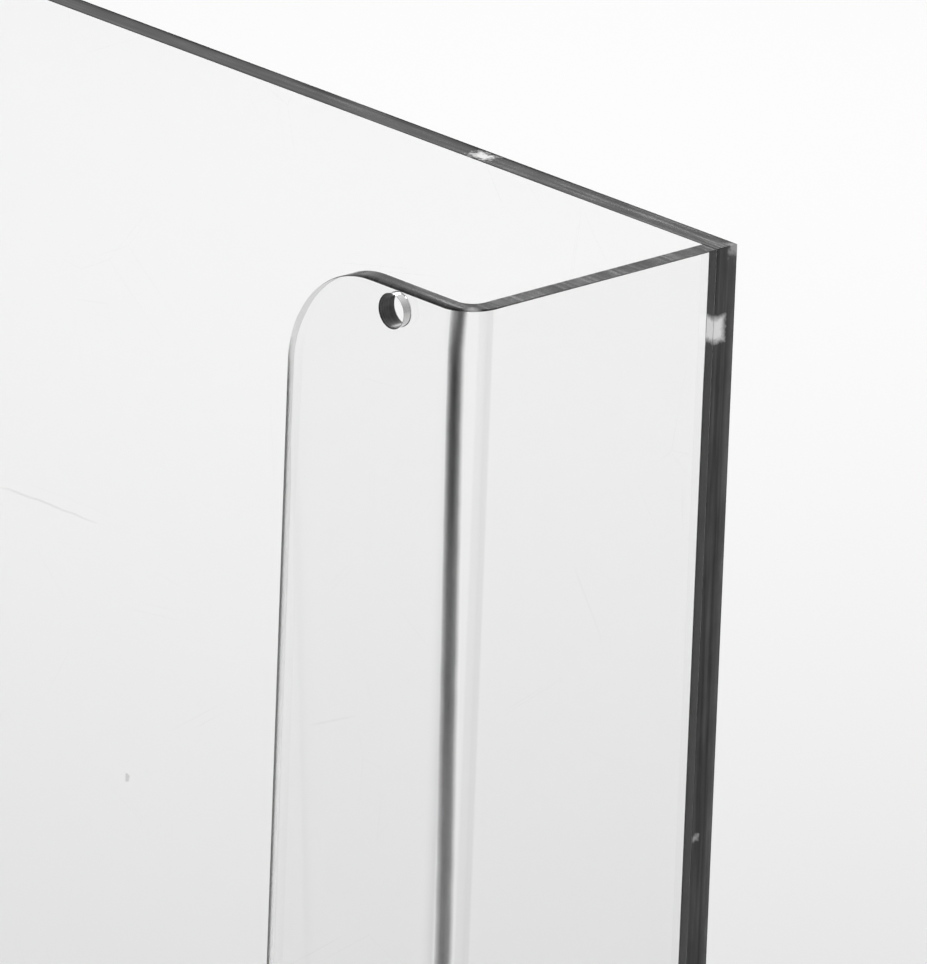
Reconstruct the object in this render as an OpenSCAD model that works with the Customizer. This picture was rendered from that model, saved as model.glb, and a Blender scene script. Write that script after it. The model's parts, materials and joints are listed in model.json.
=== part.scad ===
// Clear acrylic sneeze guard: a flat front panel with a heat-bent bracket cemented to its back at
// each end. Each bracket is one sheet: a return that stands out from the panel's back, a vertical
// bend, and a flange turned in behind the panel, with one plain hole near its top edge.
// Millimetres. The front faces -Y, +Z is up, and the origin is at the centre of the base.

/* [Guard] */
// Width of the guard, end to end
guard_w = 762; // [400:1:1800]
// Height of the guard
guard_h = 610; // [250:1:1000]

/* [Front panel] */
// Thickness of the panel's sheet
panel_t = 6.35; // [3:0.05:12]

/* [Brackets] */
// Thickness of the brackets' sheet
bracket_t = 4.76; // [3:0.01:12]
// Depth of the return, from the panel's back to the flange's outer face
return_d = 76.2; // [40:0.1:150]
// Width of the flange, from the return's outer face to the flange's free edge
flange_w = 59.5; // [46:0.5:120]
// Inside radius of the heat bend
bend_r = 4; // [0.5:0.1:12]
// Radius of the flange's free top corner
corner_r = 28; // [2:0.1:30]
// How far each bracket stands in from the end of the panel
end_inset = 0; // [0:0.5:10]
// Cement film between each bracket and the panel
bond_gap = 0; // [0:0.05:0.2]

/* [Flange holes] */
// Diameter of the hole in each flange
hole_d = 8; // [3:0.1:14]
// From the return's outer face to the hole's centre
hole_in = 26; // [22:0.1:30]
// Material left between the hole's rim and the flange's top edge
hole_land = 2.2; // [1:0.1:40]

/* [Hidden] */
$fn = 96;
// Overrun that keeps a cut's faces clear of the sheet's faces
over = 1;
overall_d = panel_t + bond_gap + return_d;
panel_back_y = panel_t - overall_d / 2;
bend_outer_r = bend_r + bracket_t;
hole_z = guard_h - hole_land - hole_d / 2;

// The flat front sheet, standing on its bottom edge
module front_panel() {
  color([0.86, 0.89, 0.90, 0.35])
    translate([-guard_w / 2, -overall_d / 2, 0])
      cube([guard_w, panel_t, guard_h]);
}

// Section of a bracket, seen from above: x runs inwards from the return's outer face,
// and y runs backwards from the return's cemented end
module bracket_section() {
  square([bracket_t, return_d - bend_outer_r]);
  translate([bend_outer_r, return_d - bracket_t])
    square([flange_w - bend_outer_r, bracket_t]);
  translate([bend_outer_r, return_d - bend_outer_r])
    intersection() {
      difference() {
        circle(r = bend_outer_r);
        circle(r = bend_r);
      }
      translate([-bend_outer_r, 0])
        square(bend_outer_r);
    }
}

// What is cut from the flange's free top corner to round it
module corner_cut() {
  translate([flange_w - corner_r, return_d - bracket_t - over, guard_h - corner_r])
    difference() {
      cube([corner_r + over, bracket_t + 2 * over, corner_r + over]);
      rotate([-90, 0, 0])
        translate([0, 0, -over])
          cylinder(r = corner_r, h = bracket_t + 4 * over);
    }
}

// The plain through-hole near the flange's top edge
module flange_hole() {
  translate([hole_in, return_d - bracket_t - over, hole_z])
    rotate([-90, 0, 0])
      cylinder(d = hole_d, h = bracket_t + 2 * over);
}

// One heat-bent bracket, with its return's outer face at x = 0 and its cemented end at y = 0
module bracket() {
  difference() {
    linear_extrude(height = guard_h)
      bracket_section();
    corner_cut();
    flange_hole();
  }
}

module left_bracket() {
  color([0.80, 0.84, 0.86, 0.45])
    translate([end_inset - guard_w / 2, panel_back_y + bond_gap, 0])
      bracket();
}

module right_bracket() {
  color([0.80, 0.84, 0.86, 0.45])
    mirror([1, 0, 0])
      translate([end_inset - guard_w / 2, panel_back_y + bond_gap, 0])
        bracket();
}

front_panel();
left_bracket();
right_bracket();
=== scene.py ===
import json
import math
from types import SimpleNamespace

import bmesh
import bpy
from mathutils import Matrix, Vector


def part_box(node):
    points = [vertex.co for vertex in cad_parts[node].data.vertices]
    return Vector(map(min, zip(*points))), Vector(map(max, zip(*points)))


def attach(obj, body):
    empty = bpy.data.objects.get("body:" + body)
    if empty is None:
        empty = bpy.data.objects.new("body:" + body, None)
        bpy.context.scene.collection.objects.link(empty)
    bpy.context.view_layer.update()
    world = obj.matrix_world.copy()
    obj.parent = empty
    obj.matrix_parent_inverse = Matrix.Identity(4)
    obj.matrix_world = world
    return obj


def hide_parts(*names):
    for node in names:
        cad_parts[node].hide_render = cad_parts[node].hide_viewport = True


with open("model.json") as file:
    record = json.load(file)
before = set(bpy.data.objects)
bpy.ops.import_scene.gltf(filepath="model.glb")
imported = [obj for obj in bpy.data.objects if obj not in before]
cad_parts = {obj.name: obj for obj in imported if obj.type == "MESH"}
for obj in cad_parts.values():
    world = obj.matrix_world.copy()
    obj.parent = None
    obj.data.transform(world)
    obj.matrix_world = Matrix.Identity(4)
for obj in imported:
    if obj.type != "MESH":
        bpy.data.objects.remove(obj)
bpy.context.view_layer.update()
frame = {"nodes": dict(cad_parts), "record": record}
scene = bpy.context.scene
mm = 0.001
print("frame loaded:", sorted(frame["nodes"]))

# the camera stands behind and above the guard, and its long lens frames the left bracket's top
viewSetup = {
    "azimuth": 226.28,        # degrees round the guard, 0 is the customer's side
    "elevation": 19.37,
    "roll": 2.2,
    "lens": 700.0,
    "sensor": 36.0,
    "fieldHeight": 215.5 * mm,        # how much the view takes in, top to bottom, at the bracket
    "cornerRight": 1.7 * mm,        # how far the bracket's top outer corner lies right of centre
    "cornerUp": 37.3 * mm,        # and how far above it
}


def addCamera():
    v = viewSetup
    a, e, r = (math.radians(v[k]) for k in ("azimuth", "elevation", "roll"))
    back = Vector((math.sin(a) * math.cos(e), -math.cos(a) * math.cos(e), math.sin(e)))
    level = Vector((math.cos(a), math.sin(a), 0))
    upright = back.cross(level)
    right = level * math.cos(r) + upright * math.sin(r)
    up = upright * math.cos(r) - level * math.sin(r)
    lo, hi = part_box("left_bracket")
    aim = Vector((lo.x, hi.y, hi.z)) - right * v["cornerRight"] - up * v["cornerUp"]
    data = bpy.data.cameras.new("viewCamera")
    data.lens = v["lens"]
    data.sensor_width = v["sensor"]
    data.clip_start, data.clip_end = 0.1, 200
    camera = bpy.data.objects.new("viewCamera", data)
    distance = v["fieldHeight"] * v["lens"] / v["sensor"]
    camera.matrix_world = Matrix.Translation(aim + back * distance) @ Matrix(
        (right, up, back)).transposed().to_4x4()
    scene.collection.objects.link(camera)
    scene.camera = camera


addCamera()
print("camera set")


def newMaterial(name):
    material = bpy.data.materials.new(name)
    material.use_nodes = True
    tree = material.node_tree
    tree.nodes.clear()
    return material, tree


def addNode(tree, kind, inputs=None, **settings):
    node = tree.nodes.new("ShaderNode" + kind)
    for key, value in settings.items():
        setattr(node, key, value)
    for key, value in (inputs or {}).items():
        socket = node.inputs[key]
        if isinstance(value, bpy.types.NodeSocket):
            tree.links.new(value, socket)
        else:
            socket.default_value = value
    return node


def objectCoords(tree, scale=(1, 1, 1), turn=(0, 0, 0), move=(0, 0, 0)):
    coords = addNode(tree, "TexCoord").outputs["Object"]
    return addNode(tree, "Mapping", {
        "Vector": coords, "Scale": scale, "Rotation": turn, "Location": move}).outputs[0]


def remap(tree, value, fromLow, fromHigh, toLow, toHigh):
    return addNode(tree, "MapRange", {
        "Value": value, "From Min": fromLow, "From Max": fromHigh,
        "To Min": toLow, "To Max": toHigh}).outputs[0]


def calc(tree, operation, first, second=0.0):
    return addNode(tree, "Math", {0: first, 1: second}, operation=operation).outputs[0]


def product(tree, *values):
    total = values[0]
    for value in values[1:]:
        total = calc(tree, "MULTIPLY", total, value)
    return total


def highest(tree, *values):
    top = values[0]
    for value in values[1:]:
        top = calc(tree, "MAXIMUM", top, value)
    return top


def flip(tree, share):
    return calc(tree, "SUBTRACT", 1.0, share)


def vectorCalc(tree, operation, first, second=(0, 0, 0)):
    return addNode(tree, "VectorMath", {0: first, 1: second}, operation=operation).outputs[0]


def splitCoords(tree, output="Object"):
    return addNode(tree, "SeparateXYZ", {0: addNode(tree, "TexCoord").outputs[output]}).outputs


def ramp(tree, value, stops):
    # stops are (position, grey) pairs, from low to high
    node = addNode(tree, "ValToRGB", {"Fac": value})
    elements = node.color_ramp.elements
    while len(elements) < len(stops):
        elements.new(0.5)
    for element, (position, grey) in zip(elements, stops):
        element.position = position
        element.color = (grey, grey, grey, 1)
    return node.outputs[0]


def greyMix(tree, factor, first, second):
    # each side is a socket or a plain grey
    def shade(side):
        return side if isinstance(side, bpy.types.NodeSocket) else (side, side, side, 1)
    node = addNode(tree, "Mix", {0: factor, 6: shade(first), 7: shade(second)}, data_type="RGBA")
    return node.outputs[2]


def grain(tree, scale, detail=4, turn=(0, 0, 0)):
    return addNode(tree, "TexNoise", {
        "Vector": objectCoords(tree, scale=scale, turn=turn), "Scale": 1,
        "Detail": detail}).outputs[0]


def patch(tree, spot, ragged=0.25, soft=0.25):
    # 1 inside a small box round the spot's centre, 0 outside, with a ragged, soft rim
    coords = addNode(tree, "TexCoord").outputs["Object"]
    offset = vectorCalc(tree, "ABSOLUTE", vectorCalc(tree, "SUBTRACT", coords, spot["centre"]))
    share = addNode(tree, "SeparateXYZ", {0: vectorCalc(tree, "DIVIDE", offset, spot["half"])})
    far = highest(tree, *share.outputs)
    rim = remap(tree, grain(tree, (900, 900, 900), 2), 0.3, 0.7, -ragged, ragged)
    return remap(tree, calc(tree, "ADD", far, rim), 1 - soft, 1 + soft, 1, 0)


acrylic = {
    "ior": 1.49,
    "tint": 1.0,
    "shadow": (0.86, 0.87, 0.87, 1),
}

panelLow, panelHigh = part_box("front_panel")
bracketLow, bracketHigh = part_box("left_bracket")

panel = {
    "arris": 0.14 * mm,        # the scraped corner between a face and a cut edge
}

bracket = {
    "sheet": 4.76 * mm,
    "bendInside": 4 * mm,
    "bendSteps": 36,
    "corner": 28 * mm,
    "cornerSteps": 36,
    "holeSteps": 64,
    "arris": 0.8 * mm,        # widest, along the flange's top
    "arrisElsewhere": 0.25,        # as a share of the widest
    "freeArris": 0.3,        # and down the outer side of the free edge
    "support": 0.6 * mm,        # narrow strips beside the bend that keep the flats flat
    "jointGap": 0.04 * mm,        # keeps the cemented end off the panel's back face
}

# marks from use and painted glints, all near the guard's left end: the scratch, rubs and speck
# are wear, the glints are patches painted to glow
marks = {
    "scratchFrom": Vector((panelLow.x + 241 * mm, 0, panelHigh.z - 124.5 * mm)),
    "scratchTo": Vector((panelLow.x + 203 * mm, 0, panelHigh.z - 123.5 * mm)),
    "scratchWidth": 0.35 * mm,
    "scratchStrength": 0.6,
    "rubStrength": 0.13,
    "wornTint": 0.55,        # how much light the deepest mark lets through
    "speck": {
        "centre": (panelLow.x + 191 * mm, panelHigh.y, panelHigh.z - 184 * mm),
        "half": (0.7 * mm, 1 * mm, 0.9 * mm)},
    # painted glints: the five spots below are made pale and glowing, though nothing lights them
    "topEdgeGlint": {
        "centre": (panelLow.x + 81 * mm, panelLow.y + 3.4 * mm, panelHigh.z),
        "half": (2.4 * mm, 1.7 * mm, 1 * mm)},
    "endGlint": {
        "centre": (bracketLow.x, bracketLow.y, bracketHigh.z - 19.4 * mm),
        "half": (8 * mm, 2.9 * mm, 2.7 * mm)},
    "cornerGlint": {
        "centre": (panelLow.x, panelLow.y + 0.9 * mm, panelHigh.z - 0.6 * mm),
        "half": (1.6 * mm, 1.3 * mm, 1.5 * mm)},
    "lowGlint": {
        "centre": (bracketLow.x, bracketLow.y - 1.1 * mm, bracketHigh.z - 142.5 * mm),
        "half": (2 * mm, 0.8 * mm, 0.7 * mm)},
    "bendGlint": {
        "centre": (bracketLow.x + 2.7 * mm, bracketHigh.y - 2.9 * mm, bracketHigh.z),
        "half": (1.1 * mm, 1.1 * mm, 1 * mm)},
}


def polishedGlass(tree, tint, roughness=0.0, bump=None):
    inputs = {
        "Base Color": tint, "Transmission Weight": 1, "IOR": acrylic["ior"],
        "Roughness": roughness}
    if bump is not None:
        inputs["Normal"] = bump
    return addNode(tree, "BsdfPrincipled", inputs).outputs[0]


def paleShadow(tree, surface):
    # clear acrylic's shadow is pale
    passing = addNode(tree, "BsdfTransparent", {"Color": acrylic["shadow"]})
    shadowRay = addNode(tree, "LightPath").outputs["Is Shadow Ray"]
    mix = addNode(tree, "MixShader", {0: shadowRay, 1: surface, 2: passing.outputs[0]})
    addNode(tree, "OutputMaterial", {"Surface": mix.outputs[0]})


def twoSided(tree, outer, inner):
    # one finish where the surface is met from outside the sheet, another where met from inside
    backface = addNode(tree, "NewGeometry").outputs["Backfacing"]
    mix = addNode(tree, "MixShader", {0: backface, 1: outer, 2: inner})
    addNode(tree, "OutputMaterial", {"Surface": mix.outputs[0]})


def hairlines(tree, turn, move):
    # short straight rubs from wiping: broken pieces of long cell borders
    coords = objectCoords(tree, turn=turn, move=move)
    border = addNode(tree, "TexVoronoi", {
        "Vector": coords, "Scale": 16}, feature="DISTANCE_TO_EDGE").outputs[0]
    line = remap(tree, border, 0.0006, 0.0016, 1, 0)
    keep = addNode(tree, "TexNoise", {"Vector": coords, "Scale": 34, "Detail": 1}).outputs[0]
    return calc(tree, "MULTIPLY", line, remap(tree, keep, 0.6, 0.68, 0, 1))


def longScratch(tree):
    start, run = marks["scratchFrom"], marks["scratchTo"] - marks["scratchFrom"]
    lean = math.atan2(run.z, run.x)
    coords = objectCoords(
        tree, turn=(0, lean, 0), move=Matrix.Rotation(lean, 3, "Y") @ (-start))
    parts = addNode(tree, "SeparateXYZ", {0: coords}).outputs
    wobble = remap(tree, grain(tree, (60, 1, 60), 2), 0.3, 0.7, -0.5 * mm, 0.5 * mm)
    across = calc(tree, "ABSOLUTE", calc(tree, "ADD", parts[2], wobble))
    along = calc(tree, "ABSOLUTE", calc(tree, "SUBTRACT", parts[0], run.length / 2))
    depth = calc(tree, "ABSOLUTE", calc(tree, "SUBTRACT", parts[1], panelHigh.y))
    line = remap(tree, across, marks["scratchWidth"] / 2, marks["scratchWidth"], 1, 0)
    tails = remap(tree, along, run.length * 0.3, run.length / 2, 0.8, 0)
    return product(tree, line, tails, remap(tree, depth, 0.5 * mm, 1 * mm, 1, 0))


def polishedSheet():
    # the sheet's cast faces: clear and glossy, a touch wavy, with wiping rubs and a little haze
    material, tree = newMaterial("polishedSheet")
    rubs = highest(tree, hairlines(tree, (0, 0.35, 0), (0, 0, 0)),
                   hairlines(tree, (0, -0.5, 0), (0.3, 0.2, 0.7)))
    wear = highest(tree, product(tree, rubs, marks["rubStrength"]),
                   product(tree, longScratch(tree), marks["scratchStrength"]),
                   patch(tree, marks["speck"], ragged=0.4))
    tint = greyMix(tree, wear, acrylic["tint"], marks["wornTint"])
    waves = addNode(tree, "TexNoise", {
        "Vector": objectCoords(tree), "Scale": 9, "Detail": 1}).outputs[0]
    bump = addNode(tree, "Bump", {
        "Height": waves, "Strength": 0.05, "Distance": 0.002}).outputs[0]
    haze = grain(tree, (60, 60, 840), 6, turn=(0, 0.4, 0))
    paleShadow(tree, polishedGlass(
        tree, tint, remap(tree, haze, 0.6, 0.85, 0.0, 0.05), bump))
    return material


# the bend's painted shade: a dark line painted into the glass's colour
paintedBendLine = {
    "start": 0.099,        # where the dark line starts, 0 at the flange and 1 at the return
    "width": 0.32,
    "drift": 0.176,        # how far it wanders towards the return, lower down
    "driftOver": 145 * mm,
    "topLean": 0.04,        # the line bends back towards the return in its last few millimetres
    "fadeLow": 0.16,        # how much of it is lost lower down
    # how dark the painted shade is across its width, steep towards the flange and with a softer
    # core
    "darkness": (
        (0.0, 0.0), (0.1, 0.48), (0.2, 0.71), (0.32, 0.91), (0.5, 0.965), (0.66, 0.89),
        (0.77, 0.75), (0.88, 0.37), (1.0, 0.0)),
    "paleTop": 0.2,        # how much its flange side lightens near the top
    "faintShadeStrip": ((0.6, 0.0), (0.65, 0.06), (0.86, 0.06), (0.9, 0.0)),        # beside the line
}


def bendPaintedShade():
    # painted shade: a dark line painted along the bend, where dark surroundings show through it,
    # beside a faintly shaded strip
    material, tree = newMaterial("bendPaintedShade")
    b = paintedBendLine
    outside = bracket["bendInside"] + bracket["sheet"]
    parts = splitCoords(tree)
    acrossX = calc(tree, "SUBTRACT", calc(tree, "ABSOLUTE", parts[0]),
                   abs(bracketLow.x) - outside)
    acrossY = calc(tree, "SUBTRACT", parts[1], bracketHigh.y - outside)
    turn = calc(tree, "DIVIDE", calc(tree, "ARCTAN2", acrossX, acrossY), math.pi / 2)
    top = bracketHigh.z
    drift = remap(tree, parts[2], top - b["driftOver"], top - 16 * mm, b["drift"], 0)
    drift = calc(tree, "ADD", drift, remap(tree, parts[2], top - 10 * mm, top, 0, b["topLean"]))
    wander = remap(tree, grain(tree, (0, 0, 40), 2), 0.3, 0.7, -0.012, 0.012)
    offset = calc(tree, "SUBTRACT", turn, calc(tree, "ADD", drift, wander))
    across = calc(tree, "DIVIDE", calc(tree, "SUBTRACT", offset, b["start"]), b["width"])
    line = ramp(tree, across, b["darkness"])
    fade = remap(tree, parts[2], top - b["driftOver"], top - 30 * mm, b["fadeLow"], 0)
    streaks = remap(tree, grain(tree, (700, 700, 45), 3), 0.3, 0.75, 0, 0.05)
    kept = flip(tree, calc(tree, "ADD", fade, streaks))
    paleTop = product(tree, remap(tree, parts[2], top - 14 * mm, top - 2 * mm, 0, b["paleTop"]),
                      remap(tree, across, 0.4, 0.6, 1, 0))
    kept = calc(tree, "SUBTRACT", kept, paleTop)
    loss = highest(tree, product(tree, line, kept), ramp(tree, turn, b["faintShadeStrip"]))
    passed = calc(tree, "POWER", flip(tree, loss), 2.0)
    paleShadow(tree, polishedGlass(tree, greyMix(tree, passed, 0.0, acrylic["tint"])))
    return material


cutLook = {
    # painted shade: the top and upright edges get lit and shaded copies of one dark colour
    "top": ((0.38, 0.004), (0.5, 0.014), (0.66, 0.04)),        # how dark the streaks are on top
    "end": ((0.36, 0.055), (0.5, 0.1), (0.66, 0.16)),        # and on the upright edges
    # painted shade: a cut edge met from inside the sheet is tinted grey
    "inside": 0.3,        # a cut edge, met from inside the sheet
    "flamedInside": 0.93,        # the flamed corner, likewise
    "flamedClear": 0.75,        # how much of the flamed corner is seen straight through
    # painted light: a paler line painted along the end edge at the panel's front
    "frontPale": 0.24,        # the end edge's paler line, along the panel's front
    # painted shade: the colour of the free edge's painted dark line
    "darkLine": (0.03, 0.03, 0.03, 1),        # the colour of the free edge's dark part
    # how clear the flange's free edge is through its thickness, and how dark its painted shade,
    # from the inner face
    "freeClear": ((0.0, 0.85), (0.35, 0.6), (0.6, 0.2), (0.75, 0.0)),
    "freeDark": ((0.55, 0.0), (0.7, 0.62), (0.88, 0.72), (1.0, 0.6)),
}


def flamed(tree, height):
    # 1 round the flange's flamed corner, 0 down the straight edge below it
    foot = bracketHigh.z - bracket["corner"]
    return remap(tree, height, foot - 4 * mm, foot + 7 * mm, 0, 1)


def cutOutside(tree):
    # painted shade: the clear edge is coloured dark where the sheet leads light away, darker on
    # top than on the upright edges, with saw lines that run along the edge
    place = splitCoords(tree)
    flat = calc(tree, "ABSOLUTE", splitCoords(tree, "Normal")[2])
    upright = flip(tree, flat)
    sawLines = greyMix(tree, flat, grain(tree, (900, 900, 22)), grain(tree, (26, 900, 900)))
    streaks = calc(tree, "ADD", product(tree, sawLines, 0.65),
                   product(tree, grain(tree, (70, 260, 70), 3), 0.35))
    shade = greyMix(
        tree, flat, ramp(tree, streaks, cutLook["end"]), ramp(tree, streaks, cutLook["top"]))
    # painted light: along the panel's front the end edge is painted paler, and the top edge
    # duller
    frontLine = remap(tree, place[1], panelLow.y + 0.6 * mm, panelLow.y + 2.2 * mm, 1, 0)
    paleLineBreakup = remap(tree, grain(tree, (190, 190, 90), 3), 0.5, 0.68, 0.55, 1)
    shade = greyMix(
        tree, product(tree, frontLine, upright, paleLineBreakup), shade, cutLook["frontPale"])
    dullness = calc(tree, "ADD", remap(tree, streaks, 0.42, 0.62, 0.1, 0),
                    product(tree, frontLine, flat, 0.28))
    # painted glints: these spots glow by emission, the brighter ones on a pale painted base
    faint = highest(tree, patch(tree, marks["cornerGlint"], ragged=0.5, soft=0.5),
                    patch(tree, marks["bendGlint"], ragged=0.3, soft=0.5),
                    patch(tree, marks["lowGlint"], ragged=0.5, soft=0.5))
    bright = highest(tree, patch(tree, marks["topEdgeGlint"], ragged=0.45, soft=0.5),
                     patch(tree, marks["endGlint"], ragged=0.1, soft=0.34))
    lines = addNode(tree, "Bump", {"Height": sawLines, "Strength": 0.12, "Distance": 0.0002})
    return addNode(tree, "BsdfPrincipled", {
        "Base Color": greyMix(tree, bright, shade, 0.8),
        "IOR": calc(tree, "SUBTRACT", acrylic["ior"] - 0.01, dullness),
        "Roughness": remap(tree, streaks, 0.4, 0.62, 0.04, 0.12),
        "Emission Color": greyMix(tree, bright, greyMix(tree, faint, 0.0, 0.2), 0.36),
        "Emission Strength": 1,
        "Normal": lines.outputs[0]}).outputs[0]


def cutInside(tree):
    # satin, clear round the flamed corner, and with painted shade: the edge is tinted grey, and
    # a dark line is painted towards the outer side of the free edge
    place = splitCoords(tree)
    through = remap(
        tree, place[1], bracketHigh.y - bracket["sheet"], bracketHigh.y, 0, 1)
    onFlange = remap(tree, place[1], 0, 10 * mm, 0, 1)
    polished = product(tree, flamed(tree, place[2]), onFlange)
    glass = addNode(tree, "BsdfPrincipled", {
        "Base Color": greyMix(tree, polished, cutLook["inside"], cutLook["flamedInside"]),
        "Transmission Weight": 1, "IOR": acrylic["ior"], "Roughness": 0.08})
    clear = greyMix(
        tree, polished, ramp(tree, through, cutLook["freeClear"]), cutLook["flamedClear"])
    seeThrough = addNode(tree, "MixShader", {
        0: product(tree, clear, onFlange), 1: glass.outputs[0],
        2: addNode(tree, "BsdfTransparent").outputs[0]})
    dark = product(tree, ramp(tree, through, cutLook["freeDark"]), flip(tree, polished))
    return addNode(tree, "MixShader", {
        0: product(tree, dark, onFlange), 1: seeThrough.outputs[0],
        2: addNode(tree, "BsdfDiffuse", {"Color": cutLook["darkLine"]}).outputs[0]}).outputs[0]


def cutEdge():
    # a machined edge, as it looks from outside the sheet and through it, its dark tones painted
    # shade
    material, tree = newMaterial("cutEdge")
    twoSided(tree, cutOutside(tree), cutInside(tree))
    return material


def scrapedArris():
    # the corner between a face and a cut edge, scraped by hand and left satin, and glassy
    # where it is met from inside; its dark colour and dark inner tint are painted shade
    material, tree = newMaterial("scrapedArris")
    chatter = grain(tree, (300, 300, 300), 4)
    place = splitCoords(tree)
    # the painted shade is lightest round the flange's flamed corner, on both brackets
    freeSide = abs(bracketHigh.x)
    pale = remap(tree, calc(tree, "ABSOLUTE", place[0]), freeSide + 13.5 * mm,
                 freeSide + 25.5 * mm, 1, 0)
    shade = greyMix(tree, pale, ramp(tree, chatter, ((0.35, 0.025), (0.7, 0.09))),
                    greyMix(tree, flamed(tree, place[2]), 0.07, 0.42))
    # painted glint: the arris glows by emission at the bend
    glint = patch(tree, marks["bendGlint"], ragged=0.3, soft=0.5)
    satin = addNode(tree, "BsdfPrincipled", {
        "Base Color": shade, "Roughness": remap(tree, chatter, 0.3, 0.7, 0.16, 0.34),
        "IOR": acrylic["ior"], "Emission Color": greyMix(tree, glint, 0.0, 0.3),
        "Emission Strength": 1})
    inside = greyMix(tree, flamed(tree, place[2]), 0.04, cutLook["flamedInside"])
    twoSided(tree, satin.outputs[0], polishedGlass(tree, inside, 0.06))
    return material


def drilledWall():
    # the hole's wall keeps the drill's fine rings; its dark grey, from outside and from inside
    # the sheet, is painted shade in the hole
    material, tree = newMaterial("drilledWall")
    smears = grain(tree, (420, 160, 420), 3)
    rings = grain(tree, (120, 2600, 120), 3)
    mixed = calc(tree, "ADD", product(tree, rings, 0.4), product(tree, smears, 0.6))
    wall = addNode(tree, "BsdfPrincipled", {
        "Base Color": ramp(tree, mixed, ((0.36, 0.07), (0.6, 0.22))), "Roughness": 0.32,
        "IOR": acrylic["ior"]})
    seenThrough = addNode(tree, "BsdfPrincipled", {
        "Base Color": ramp(tree, smears, ((0.4, 0.12), (0.62, 0.6))), "Transmission Weight": 1,
        "IOR": acrylic["ior"], "Roughness": 0.12})
    twoSided(tree, wall.outputs[0], seenThrough.outputs[0])
    return material


def cementedEnd():
    # the bracket's end in its cement: dark through the sheet, with trapped air here and there,
    # and one painted glint that glows
    material, tree = newMaterial("cementedEnd")
    air = addNode(tree, "TexVoronoi", {
        "Vector": objectCoords(tree), "Scale": 420}).outputs["Distance"]
    some = remap(tree, grain(tree, (90, 90, 40), 2), 0.56, 0.66, 0, 1)
    bubbles = product(tree, remap(tree, air, 0.05, 0.14, 1, 0), some)
    streaks = ramp(tree, grain(tree, (300, 300, 14), 3), ((0.35, 0.004), (0.7, 0.013)))
    shade = greyMix(tree, bubbles, streaks, 0.12)
    # painted glint: a pale patch that glows by emission
    endGlow = patch(tree, marks["endGlint"], ragged=0.1, soft=0.34)
    shade = greyMix(tree, endGlow, shade, 0.6)
    film = addNode(tree, "BsdfPrincipled", {
        "Base Color": shade, "Roughness": 0.3,
        "Emission Color": greyMix(tree, endGlow, 0.0, 0.45), "Emission Strength": 1})
    addNode(tree, "OutputMaterial", {"Surface": film.outputs[0]})
    return material


finishes = [
    polishedSheet(), cutEdge(), scrapedArris(), bendPaintedShade(), drilledWall(), cementedEnd()]
faceSlot, edgeSlot, arrisSlot, bendSlot, holeSlot, cementSlot = range(len(finishes))
print("materials made:", [m.name for m in finishes])


def addFinishes(mesh):
    for finish in finishes:
        mesh.materials.append(finish)


def finishPiece(name, mesh, node):
    # edges over the angle are sharp, and the bend, hole and corner shade smoothly
    mesh.shade_smooth()
    mesh.set_sharp_from_angle(angle=math.radians(20))
    piece = bpy.data.objects.new(name, mesh)
    scene.collection.objects.link(piece)
    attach(piece, "root")
    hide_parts(node)
    return piece


def frontPanelSheet():
    lo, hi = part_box("front_panel")
    bm = bmesh.new()
    bmesh.ops.create_cube(bm, size=1)
    bmesh.ops.scale(bm, verts=bm.verts, vec=hi - lo)
    bmesh.ops.translate(bm, verts=bm.verts, vec=(lo + hi) / 2)
    for face in bm.faces:
        face.material_index = faceSlot if abs(face.normal.y) > 0.9 else edgeSlot
    bmesh.ops.bevel(
        bm, geom=bm.edges[:], offset=panel["arris"], segments=2, profile=0.5,
        affect="EDGES", material=edgeSlot)
    mesh = bpy.data.meshes.new("frontPanelSheet")
    bm.to_mesh(mesh)
    bm.free()
    addFinishes(mesh)
    return finishPiece("frontPanelSheet", mesh, "front_panel")


def withModifier(mesh, kind, **settings):
    # a copy of the mesh with one modifier applied
    holder = bpy.data.objects.new(mesh.name + "Holder", mesh)
    scene.collection.objects.link(holder)
    modifier = holder.modifiers.new(kind.lower(), kind)
    for key, value in settings.items():
        setattr(modifier, key, value)
    depsgraph = bpy.context.evaluated_depsgraph_get()
    made = bpy.data.meshes.new_from_object(holder.evaluated_get(depsgraph))
    bpy.data.objects.remove(holder)
    return made


def bracketPlan(node, side):
    # side is -1 for the bracket at low x and 1 for the one at high x
    lo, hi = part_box(node)
    outerX, freeX = (lo.x, hi.x) if side < 0 else (hi.x, lo.x)
    bendOutside = bracket["bendInside"] + bracket["sheet"]
    holes = next(m for m in frame["record"]["mounts"] if m["name"] == "flange_holes")
    return SimpleNamespace(
        side=side, lo=lo, hi=hi, outerX=outerX, freeX=freeX, bendOutside=bendOutside,
        tangentX=outerX - side * bendOutside, tangentY=hi.y - bendOutside,
        holeX=side * holes["dims"]["spacing_x_mm"] / 2 * mm, holeZ=holes["pos_m"][2],
        holeR=holes["dims"]["hole_r_mm"] * mm)


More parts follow.
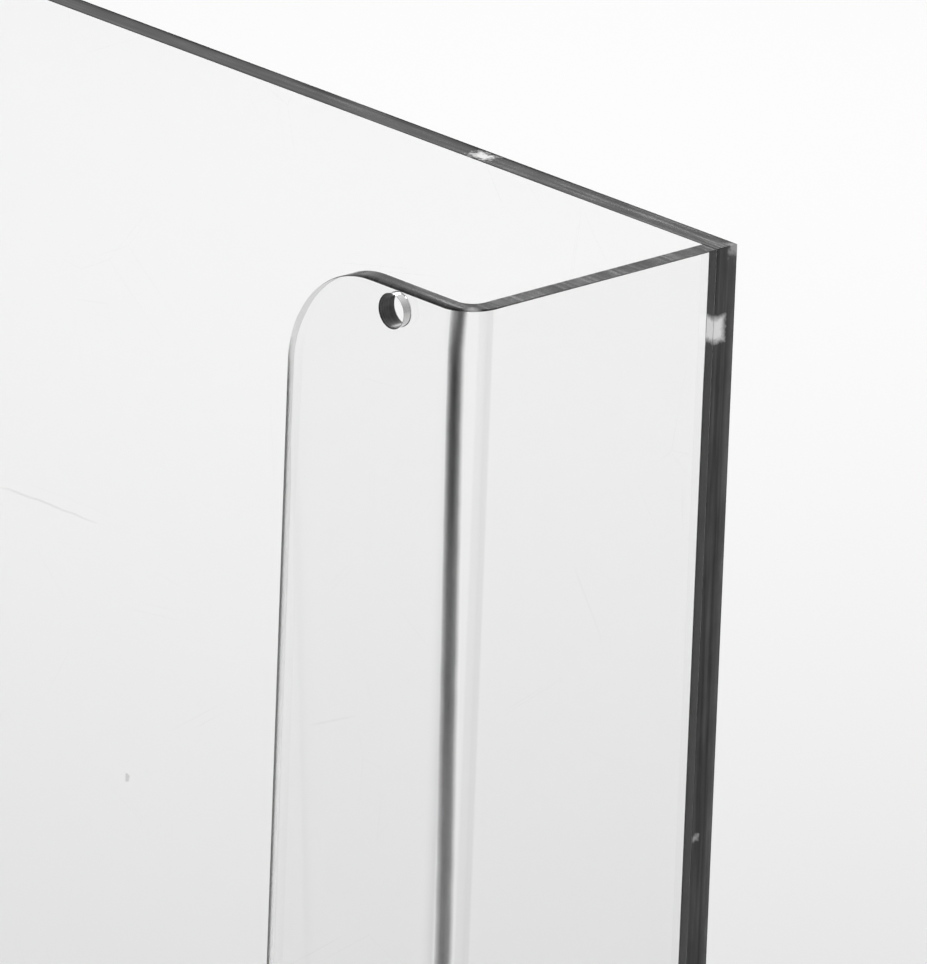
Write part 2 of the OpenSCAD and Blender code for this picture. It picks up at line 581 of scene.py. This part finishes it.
def cutFlange(bm, plan):
    # the flange's outer face, cut flat with its rounded corner and its hole
    corners = [bm.verts.new((x, plan.hi.y, z)) for x, z in (
        (plan.tangentX, plan.lo.z), (plan.freeX, plan.lo.z), (plan.freeX, plan.hi.z),
        (plan.tangentX, plan.hi.z))]
    bm.faces.new(corners)
    bmesh.ops.bevel(
        bm, geom=[corners[2]], offset=bracket["corner"], segments=bracket["cornerSteps"],
        profile=0.5, affect="VERTICES", material=-1)
    bmesh.ops.create_circle(
        bm, segments=bracket["holeSteps"], radius=plan.holeR,
        matrix=Matrix.Translation((plan.holeX, plan.hi.y, plan.holeZ)) @ Matrix.Rotation(
            math.radians(90), 4, "X"))
    bmesh.ops.delete(bm, geom=bm.faces[:], context="FACES_ONLY")
    bmesh.ops.triangle_fill(bm, use_beauty=True, edges=bm.edges[:], normal=(0, 1, 0))
    bmesh.ops.dissolve_limit(bm, angle_limit=math.radians(0.5), edges=bm.edges[:])


def edgesAt(bm, x):
    return [e for e in bm.edges if all(abs(v.co.x - x) < 1e-6 for v in e.verts)]


def bendAndReturn(bm, plan):
    # the bend is spun from the flange's edge, and the return runs on from it
    start = edgesAt(bm, plan.tangentX)
    bmesh.ops.spin(
        bm, geom=start + list({v for e in start for v in e.verts}),
        cent=(plan.tangentX, plan.tangentY, 0), axis=(0, 0, 1),
        angle=-plan.side * math.radians(90), steps=bracket["bendSteps"], use_merge=False)
    grown = bmesh.ops.extrude_edge_only(bm, edges=edgesAt(bm, plan.outerX))["geom"]
    for v in (g for g in grown if isinstance(g, bmesh.types.BMVert)):
        v.co.y = plan.lo.y + bracket["jointGap"]
    flatEnds = (
        (Vector((plan.tangentX - plan.side * bracket["support"], plan.hi.y, 0)),
         Vector((1, 0, 0))),
        (Vector((plan.outerX, plan.tangentY - bracket["support"], 0)), Vector((0, 1, 0))))
    for place, normal in flatEnds:
        bmesh.ops.bisect_plane(
            bm, geom=bm.verts[:] + bm.edges[:] + bm.faces[:], dist=1e-7,
            plane_co=place, plane_no=normal)


def faceOutwards(bm, side):
    bmesh.ops.remove_doubles(bm, verts=bm.verts, dist=1e-6)
    bmesh.ops.recalc_face_normals(bm, faces=bm.faces[:])
    probe = max(bm.faces, key=lambda f: f.calc_area())
    outwards = Vector((side, 0, 0)) if abs(probe.normal.x) > 0.5 else Vector((0, 1, 0))
    if probe.normal.dot(outwards) < 0:
        bmesh.ops.reverse_faces(bm, faces=bm.faces[:])


def atHole(plan, point):
    return Vector((point.x - plan.holeX, point.z - plan.holeZ)).length < plan.holeR * 1.01


def bendShare(plan, point):
    # 0 on the flange and 1 on the return
    across, back = plan.side * (point.x - plan.tangentX), point.y - plan.tangentY
    if across <= 0:
        return 0
    return 1 if back <= 0 else math.atan2(across, back) / (math.pi / 2)


def faceFinish(plan, face):
    middle, normal = face.calc_center_median(), face.normal
    reach = Vector((plan.side * (middle.x - plan.tangentX), middle.y - plan.tangentY))
    atFree = normal.x * plan.side < -0.9 and abs(middle.x - plan.freeX) < bracket["support"]
    if atHole(plan, middle) and abs(normal.y) < 0.1:
        return holeSlot
    if normal.y < -0.9 and middle.y < plan.lo.y + bracket["support"]:
        return cementSlot
    if abs(normal.z) > 0.1 or atFree:
        return edgeSlot
    if min(reach) > 0 and reach.length > plan.bendOutside - bracket["support"]:
        return bendSlot
    return faceSlot


def arrisShare(plan, edge):
    # the width of a cut edge's arris, as a share of the widest
    middle = (edge.verts[0].co + edge.verts[1].co) / 2
    share = bracket["arrisElsewhere"]
    if middle.z > plan.hi.z - bracket["corner"] and not atHole(plan, middle):
        share += (1 - share) * (1 - bendShare(plan, middle))
    # it dies away round the flamed corner, and the free edge has it on its outer side only
    inwards = max(0, (abs(middle.x - plan.freeX) - 4 * mm) / (24 * mm))
    share *= min(1, 0.03 + inwards ** 2)
    if middle.y > plan.hi.y - bracket["support"] and not atHole(plan, middle):
        below = (plan.hi.z - bracket["corner"] + 8 * mm - middle.z) / (8 * mm)
        share = max(share, bracket["freeArris"] * min(1, below))
    return share


def bracketSheet(name, node, side):
    plan = bracketPlan(node, side)
    bm = bmesh.new()
    cutFlange(bm, plan)
    bendAndReturn(bm, plan)
    faceOutwards(bm, side)
    outline = bpy.data.meshes.new(name + "Outline")
    bm.to_mesh(outline)
    bm.free()
    thick = withModifier(
        outline, "SOLIDIFY", thickness=bracket["sheet"], offset=-1, use_even_offset=True)
    bm = bmesh.new()
    bm.from_mesh(thick)
    for face in bm.faces:
        face.material_index = faceFinish(plan, face)
    weight = bm.edges.layers.float.new("bevel_weight_edge")
    for edge in bm.edges:
        if edge.calc_face_angle(0) >= math.radians(50):
            edge[weight] = arrisShare(plan, edge)
    bm.to_mesh(thick)
    bm.free()
    addFinishes(thick)
    final = withModifier(
        thick, "BEVEL", width=bracket["arris"], segments=2, limit_method="WEIGHT",
        use_clamp_overlap=False, loop_slide=False, material=arrisSlot)
    final.name = name
    return finishPiece(name, final, node)


frontPanelSheet()
bracketSheet("leftBracketSheet", "left_bracket", -1)
bracketSheet("rightBracketSheet", "right_bracket", 1)

studio = {
    "floorSize": 120,
    "floorColour": (0.88, 0.88, 0.88, 1),
    "brightSide": Vector((0.72, -0.69, 0)),        # the way the brighter half of the studio lies
    "worldDark": 0.14,
    "worldBright": 0.69,
}

# soft boxes: where each one is, what it is aimed at, its width and its power
softBoxes = {
    "backSoftbox": (Vector((1.05, -1.4, 1.6)), Vector((1.05, -1.4, 0)), 0.9, 19.5),
    "topSoftbox": (Vector((-0.85, 0.57, 2.6)), Vector((-0.38, 0.04, 0.6)), 0.5, 5),
}


def addFloor():
    bm = bmesh.new()
    bmesh.ops.create_grid(bm, x_segments=1, y_segments=1, size=studio["floorSize"] / 2)
    mesh = bpy.data.meshes.new("studioFloor")
    bm.to_mesh(mesh)
    bm.free()
    material, tree = newMaterial("paleFloor")
    paint = addNode(tree, "BsdfPrincipled", {
        "Base Color": studio["floorColour"], "Roughness": 0.9})
    addNode(tree, "OutputMaterial", {"Surface": paint.outputs[0]})
    mesh.materials.append(material)
    floor = bpy.data.objects.new("studioFloor", mesh)
    scene.collection.objects.link(floor)


def addWorld():
    # brighter on the far side of the guard, dimmer behind the camera
    world = bpy.data.worlds.new("studioWorld")
    scene.world = world
    world.use_nodes = True
    tree = world.node_tree
    direction = addNode(tree, "TexCoord").outputs["Generated"]
    facing = addNode(tree, "VectorMath", {
        0: direction, 1: studio["brightSide"].normalized()}, operation="DOT_PRODUCT")
    level = addNode(tree, "MapRange", {
        "Value": facing.outputs["Value"], "From Min": -0.6, "From Max": 0.7,
        "To Min": studio["worldDark"], "To Max": studio["worldBright"]},
        interpolation_type="SMOOTHSTEP")
    sky = tree.nodes["Background"]
    sky.inputs["Color"].default_value = (1, 1, 1, 1)
    tree.links.new(level.outputs[0], sky.inputs["Strength"])


def addSoftBox(name, place, aim, size, power):
    light = bpy.data.lights.new(name, "AREA")
    light.shape = "SQUARE"
    light.size = size
    light.energy = power
    lamp = bpy.data.objects.new(name, light)
    lamp.location = place
    lamp.rotation_mode = "QUATERNION"
    lamp.rotation_quaternion = (place - aim).to_track_quat("Z", "Y")
    lamp.visible_camera = False
    scene.collection.objects.link(lamp)


addFloor()
addWorld()
for boxName, boxSettings in softBoxes.items():
    addSoftBox(boxName, *boxSettings)
scene.view_settings.view_transform = "Standard"
print("studio lit")
